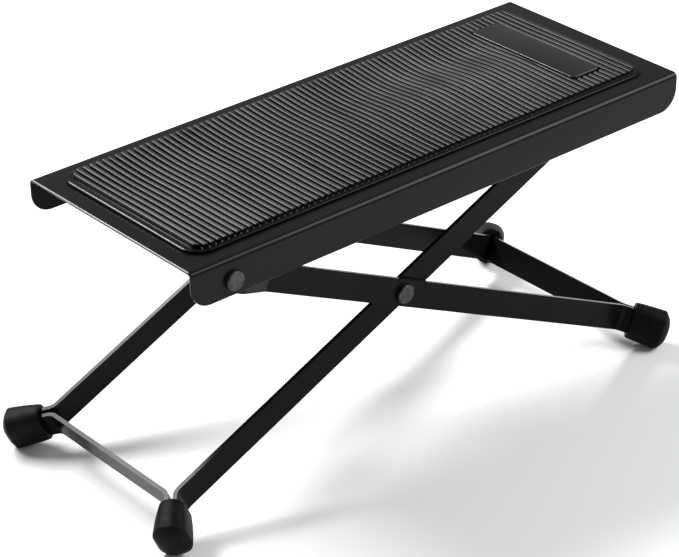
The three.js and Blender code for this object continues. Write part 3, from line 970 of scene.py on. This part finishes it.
@dataclass
class Boots(Assembly):
    """The two rubber boots pushed over a frame's corners.

    `walls` gives the outside from mouth to shoulder: how far along, and how far it has grown there
    from the cavity's half width and half height to the full ones. `dome` gives the closed end: how
    far along, and its share of the full half width and half height.
    """

    side_word: str = "right"
    body: str = "outer_frame"
    face: float = 48.0
    bar: float = 273.8
    thickness: float = 2.0
    mouth: float = 3.9
    shoulder: float = 19.5
    tip: float = 23.1
    half_width: float = 7.6
    half_height: float = 9.55
    cavity: tuple[float, float] = (3.3, 6.65)
    cavity_depth: float = 12.6
    corner: float = 6.6
    corner_steps: int = 9
    walls: tuple[tuple[float, float, float], ...] = (
        (0.0, 0.56, 0.7), (0.02, 0.62, 0.78), (0.12, 0.68, 0.84), (0.3, 0.79, 0.905),
        (0.55, 0.9, 0.96), (0.8, 0.965, 0.99), (0.97, 1.0, 1.0), (1.0, 0.995, 0.995))
    dome: tuple[tuple[float, float], ...] = (
        (0.07, 0.972), (0.2, 0.912), (0.4, 0.818), (0.58, 0.733), (0.75, 0.6), (0.88, 0.455),
        (0.96, 0.3), (1.0, 0.16))

    def build(self) -> None:
        """Makes both boots."""
        for side in Side:
            boot = new_object(self.shell(), f"boot_{self.side_word}_{side.word}")
            corner = Matrix.Translation((self.bar - self.thickness / 2,
                                         side.value * (self.face - self.thickness / 2), 0))
            boot.data.transform(corner @ Matrix.Rotation(side.value * math.pi / 4, 4, "Z"))
            self._flatten(boot)
            self.piece(boot, Slot.BOOT, self.body, [f"foot_boot_{self.side_word}_{side.word}"],
                       sharp=50.0)

    def shell(self) -> bmesh.types.BMesh:
        """Moulds one boot with x out along the foot, from the frame's corner.

        Returns:
            The boot, with the slot that holds the strap.
        """
        shape = bmesh.new()
        stand = Matrix.Translation((self.mouth, 0, 0)) @ Matrix.Rotation(QUARTER, 4, "Y")
        size = Matrix.Diagonal((2 * self.half_height, 2 * self.half_width, 1, 1))
        bmesh.ops.create_grid(shape, x_segments=1, y_segments=1, size=0.5, matrix=stand @ size)
        bmesh.ops.delete(shape, geom=shape.faces[:], context="FACES_ONLY")
        round_off(shape, shape.verts[:], self.corner, self.corner_steps)
        full = (self.half_width, self.half_height)
        stations = [(self.mouth + along * (self.shoulder - self.mouth),
                     *(hold + share * (whole - hold)
                       for hold, share, whole in zip(self.cavity, shares, full)))
                    for along, *shares in self.walls]
        stations += [(self.shoulder + along * (self.tip - self.shoulder),
                      share * self.half_width, share * self.half_height)
                     for along, share in self.dome]
        first = shape.edges[:]
        self._fit(first, (self.mouth, *full), stations[0])
        self._push(shape, first, stations)
        x, *_ = stations[0]
        self._push(shape, first, [stations[0], (x, *self.cavity),
                                  (x + self.cavity_depth, *self.cavity)])
        face_outward(shape)
        return shape

    def _push(self, shape: bmesh.types.BMesh, ring: list[bmesh.types.BMEdge],
              stations: list[tuple[float, float, float]]) -> None:
        """Draws a ring on from station to station and closes its end.

        Args:
            shape: the boot.
            ring: the ring's edges, which lie at the first station.
            stations: places along the boot, each with its half width and half height.
        """
        for now, then in zip(stations, stations[1:]):
            ring = edges_of(bmesh.ops.extrude_edge_only(shape, edges=ring)["geom"])
            self._fit(ring, now, then)
        bmesh.ops.edgeloop_fill(shape, edges=ring)

    @staticmethod
    def _fit(ring: list[bmesh.types.BMEdge], now: tuple[float, float, float],
             then: tuple[float, float, float]) -> None:
        """Moves a ring to another station and gives it the half width and half height there.

        Args:
            ring: the ring's edges.
            now: the station where it lies.
            then: the station where it goes.
        """
        move = Matrix.Translation((then[0], 0, 0)) @ Matrix.Diagonal(
            (1, then[1] / now[1], then[2] / now[2], 1)) @ Matrix.Translation((-now[0], 0, 0))
        for vert in {v for edge in ring for v in edge.verts}:
            vert.co = move @ vert.co

    def _flatten(self, boot: bpy.types.Object) -> None:
        """Cuts a boot flat where it meets the floor."""
        shape = bmesh.new()
        shape.from_mesh(boot.data)
        floor = self.place.inverted()
        normal = (floor.to_3x3() @ UP).normalized()
        cut = bmesh.ops.bisect_plane(shape, geom=all_of(shape), plane_co=floor.translation,
                                     plane_no=normal, clear_inner=True)["geom_cut"]
        rim = edges_of(cut)
        if rim:
            bmesh.ops.edgeloop_fill(shape, edges=rim)
        shape.to_mesh(boot.data)
        shape.free()


@dataclass
class Pivot(Assembly):
    """A pair of rivets on one line across the stand, each with a washer at its set end."""

    kind: str = "deck"
    body: str = "deck_pivots"
    outer: float = 56.5
    inner: float = 52.8
    x: float = 0.0
    z: float = 0.0
    head: float = 8.8
    head_height: float = 1.9
    head_round: float = 0.35
    crown: float = 0.32
    crown_height: float = 0.25
    crown_round: float = 0.8
    shank: float = 5.4
    set_end: float = 8.2
    set_height: float = 1.6
    set_dish: float = 0.1
    set_round: float = 0.5
    washer: tuple[float, float, float] = (6.0, 10.4, 0.8)
    washer_rounds: tuple[float, float] = (0.2, 0.15)

    def build(self) -> None:
        """Makes both rivets and both washers."""
        for side in Side:
            for made, slot, word in ((self.rivet(), Slot.RIVET, "rivet"),
                                     (self.ring(), Slot.RACK, "washer")):
                if side is Side.NEAR:
                    bmesh.ops.rotate(made, verts=made.verts[:],
                                     matrix=Matrix.Rotation(math.pi, 3, "Z"))
                bmesh.ops.translate(made, verts=made.verts[:], vec=(self.x, 0, self.z))
                self.piece(new_object(made, f"{self.kind}_{word}_{side.word}_turned"), slot,
                           self.body, [f"{self.kind}_{word}_{side.word}"], sharp=45.0)

    def rivet(self) -> bmesh.types.BMesh:
        """Turns a rivet with its flat round head outward along y.

        Returns:
            The rivet.
        """
        head_at = self.outer + GAP
        top = head_at + self.head_height
        set_at = self.inner - 2 * GAP - self.washer[2]
        low = set_at - self.set_height
        rim = top - self.crown_height
        return turned([
            (0, low), (self.set_end / 2, low + self.set_dish), (self.set_end / 2, set_at),
            (self.shank / 2, set_at), (self.shank / 2, head_at), (self.head / 2, head_at),
            (self.head / 2, rim), (self.head * self.crown, top), (0, top),
        ], {1: self.set_round, 6: self.head_round, 7: self.crown_round})

    def ring(self) -> bmesh.types.BMesh:
        """Turns a washer.

        Returns:
            The washer.
        """
        hole, outside, thick = self.washer
        high = self.inner - GAP
        low = high - thick
        middle = (hole + outside) / 4
        outer, inner = self.washer_rounds
        return turned([
            (middle, low), (outside / 2, low), (outside / 2, high), (middle, high),
            (hole / 2, high), (hole / 2, low), (middle, low),
        ], {1: outer, 2: outer, 4: inner, 5: inner})


@dataclass
class Rod(Assembly):
    """The round rod between the inner frame's upper ends, which seats in the racks."""

    x: float = 0.0
    diameter: float = 6.0
    tenon: float = 4.4
    shoulder: float = 43.4
    end: float = 45.7
    edge: float = 0.3
    steps: int = 40

    def build(self) -> None:
        """Makes the rod."""
        thick, thin = self.diameter / 2, self.tenon / 2
        made = turned([
            (0, -self.end), (thin, -self.end), (thin, -self.shoulder), (thick, -self.shoulder),
            (thick, self.shoulder), (thin, self.shoulder), (thin, self.end), (0, self.end),
        ], dict.fromkeys((1, 3, 4, 6), self.edge), self.steps)
        bmesh.ops.translate(made, verts=made.verts[:], vec=(self.x, 0, 0))
        self.piece(new_object(made, "height_rod"), Slot.RACK, "inner_frame", ["cross_rod"])


@dataclass(frozen=True)
class Softbox:
    """A soft light.

    Attributes:
        name: its name.
        place: where it hangs, in metres.
        size: how wide and how high it is, in metres.
        power: its power in watts.
    """

    name: str
    place: tuple[float, float, float]
    size: tuple[float, float]
    power: float

    def hang(self, target: Vector) -> None:
        """Hangs it so that it faces a point, given in metres."""
        data = bpy.data.lights.new(self.name, "AREA")
        data.shape, data.energy = "RECTANGLE", self.power
        data.size, data.size_y = self.size
        lamp = bpy.data.objects.new(self.name, data)
        at = Vector(self.place)
        aim = (target - at).to_track_quat("-Z", "Y").to_matrix().to_4x4()
        lamp.matrix_world = Matrix.Translation(at) @ aim
        bpy.context.scene.collection.objects.link(lamp)


@dataclass
class Studio:
    """The photograph's camera, the floor and the lights. All but `camera_at` is in metres."""

    deck: Matrix
    lens: float = 138.55
    sensor: float = 36.0
    yaw: float = 49.475
    pitch: float = 29.502
    roll: float = -0.623
    camera_at: tuple[float, float, float] = (-692.02, -790.52, 514.96)
    clip: tuple[float, float] = (0.05, 50.0)
    floor_half: float = 12.0
    floor_greys: tuple[float, float] = (0.86, 0.9)
    room_light: float = 0.32
    softboxes: tuple[Softbox, ...] = (
        Softbox("rim", place=(-0.36, 1.14, 1.3), size=(1.3, 0.3), power=46.0),
        Softbox("front", place=(1.0, -0.78, 1.12), size=(0.9, 0.9), power=22.0))
    target: tuple[float, float, float] = (0.0, 0.0, 0.08)

    def build(self) -> None:
        """Sets up the whole studio."""
        self.camera()
        self.floor()
        self.world()
        for softbox in self.softboxes:
            softbox.hang(Vector(self.target))

    def camera(self) -> None:
        """Stands the camera where the photograph was taken, measured from the deck."""
        data = bpy.data.cameras.new("camera")
        data.lens, data.sensor_width = self.lens, self.sensor
        data.clip_start, data.clip_end = self.clip
        made = bpy.data.objects.new("camera", data)
        aim = (Matrix.Rotation(math.radians(self.yaw - 90), 4, "Z")
               @ Matrix.Rotation(math.radians(90 - self.pitch), 4, "X")
               @ Matrix.Rotation(math.radians(self.roll), 4, "Z"))
        stand = self.deck @ Matrix.Translation(self.camera_at) @ aim
        stand.translation = stand.translation / METRE
        made.matrix_world = stand
        bpy.context.scene.collection.objects.link(made)
        bpy.context.scene.camera = made

    def floor(self) -> None:
        """Lays a wide pale floor."""
        ground = bmesh.new()
        bmesh.ops.create_grid(ground, x_segments=1, y_segments=1, size=self.floor_half)
        floor = new_object(ground, "floor")
        graph = Graph("pale_floor")
        low, high = self.floor_greys
        colour = graph.blend(graph.noise(scale=1.5, detail=2.0), grey(low), grey(high))
        floor.data.materials.append(graph.dress(Base_Color=colour, Roughness=0.9,
                                                Specular_IOR_Level=0.1))

    def world(self) -> None:
        """Gives the room an even pale light."""
        world = bpy.data.worlds.new("room")
        world.use_nodes = True
        back = world.node_tree.nodes["Background"]
        back.inputs["Color"].default_value = (1, 1, 1, 1)
        back.inputs["Strength"].default_value = self.room_light
        bpy.context.scene.world = world
        bpy.context.scene.view_settings.view_transform = "Standard"


def finishes(linkage: Linkage) -> dict[Slot, bpy.types.Material]:
    """Makes each slot's material.

    Args:
        linkage: where the deck stands, for the dust, painted shade and painted highlights that
            follow its height and its corners.

    Returns:
        The materials by slot.
    """
    deck = linkage.deck()
    deck_up = (deck.to_3x3() @ UP).normalized()
    outward = (deck.to_3x3() @ Vector((-1, 0, 1))).normalized()
    deck_end = deck @ Vector((-Deck.length / 2, 0, 0))
    lip_end = deck @ Vector((Tread.middle - Tread.length / 2, 0, GAP + Tread.lip))
    crests = deck.translation.dot(deck_up) + GAP + Tread.lip + Tread.rib_height
    looks = {
        # The deck's end edge gets a painted highlight line.
        Slot.DECK: PowderCoat("deck_powder_coat", dark=0.005, light=0.01, roughness=0.2, shine=0.1,
                              corner=RubbedCorner(outward, deck_end.dot(outward), shade=0.35)),
        Slot.STRAP: PowderCoat("strap_powder_coat", dark=0.003, light=0.006, roughness=0.2,
                               shine=0.075),
        # The tread's grooves get painted shade, and the lip's end edge a painted highlight line.
        Slot.TREAD: TreadRubber("ribbed_rubber", groove=0.001, crest=0.06, deck_up=deck_up,
                                low=crests - 0.85, high=crests - 0.05,
                                corner=RubbedCorner(outward, lip_end.dot(outward), shade=0.2)),
        Slot.BOOT: BootRubber("boot_rubber_skin", dark=0.0015, light=0.011),
        Slot.BADGE: Gloss("badge_moulding", dark=0.003),
        Slot.RIVET: Plate("dark_nickel", colour=(0.09, 0.09, 0.095), roughness=0.34),
        Slot.RACK: Plate("zinc", colour=(0.55, 0.56, 0.58), roughness=0.4),
    }
    return {slot: look.build() for slot, look in looks.items()}


def main() -> None:
    """Builds the stand's sub-assemblies and the studio, in order."""
    linkage = Linkage()
    looks = finishes(linkage)
    deck, outer, inner = linkage.deck(), linkage.outer(), linkage.inner()
    x, _, z = linkage.pivot
    cross, rod = linkage.pivot_to_cross, -linkage.cross_to_rod
    rivet_hole, rod_hole = Deck.hole, 2.5
    face, bar = linkage.inner_face, linkage.inner_bar
    Studio(deck).build()
    Deck(deck, looks, hole_at=(x, z)).build()
    Tread(deck, looks).build()
    Pivot(deck, looks, x=x, z=z).build()
    StrapFrame(outer, looks, name="outer_leg_frame", step_in=6.8,
               holes=((0.0, rivet_hole), (cross, rivet_hole))).build()
    Pivot(outer, looks, kind="cross", body="outer_frame", outer=48.0, inner=43.7, x=cross).build()
    Boots(outer, looks).build()
    StrapFrame(inner, looks, name="inner_leg_frame", body="inner_frame", start=rod, face=face,
               bar=bar, holes=((0.0, rivet_hole), (rod, rod_hole))).build()
    Boots(inner, looks, side_word="left", body="inner_frame", face=face, bar=bar).build()
    Rod(inner, looks, x=rod).build()


if __name__ == "__main__":
    main()
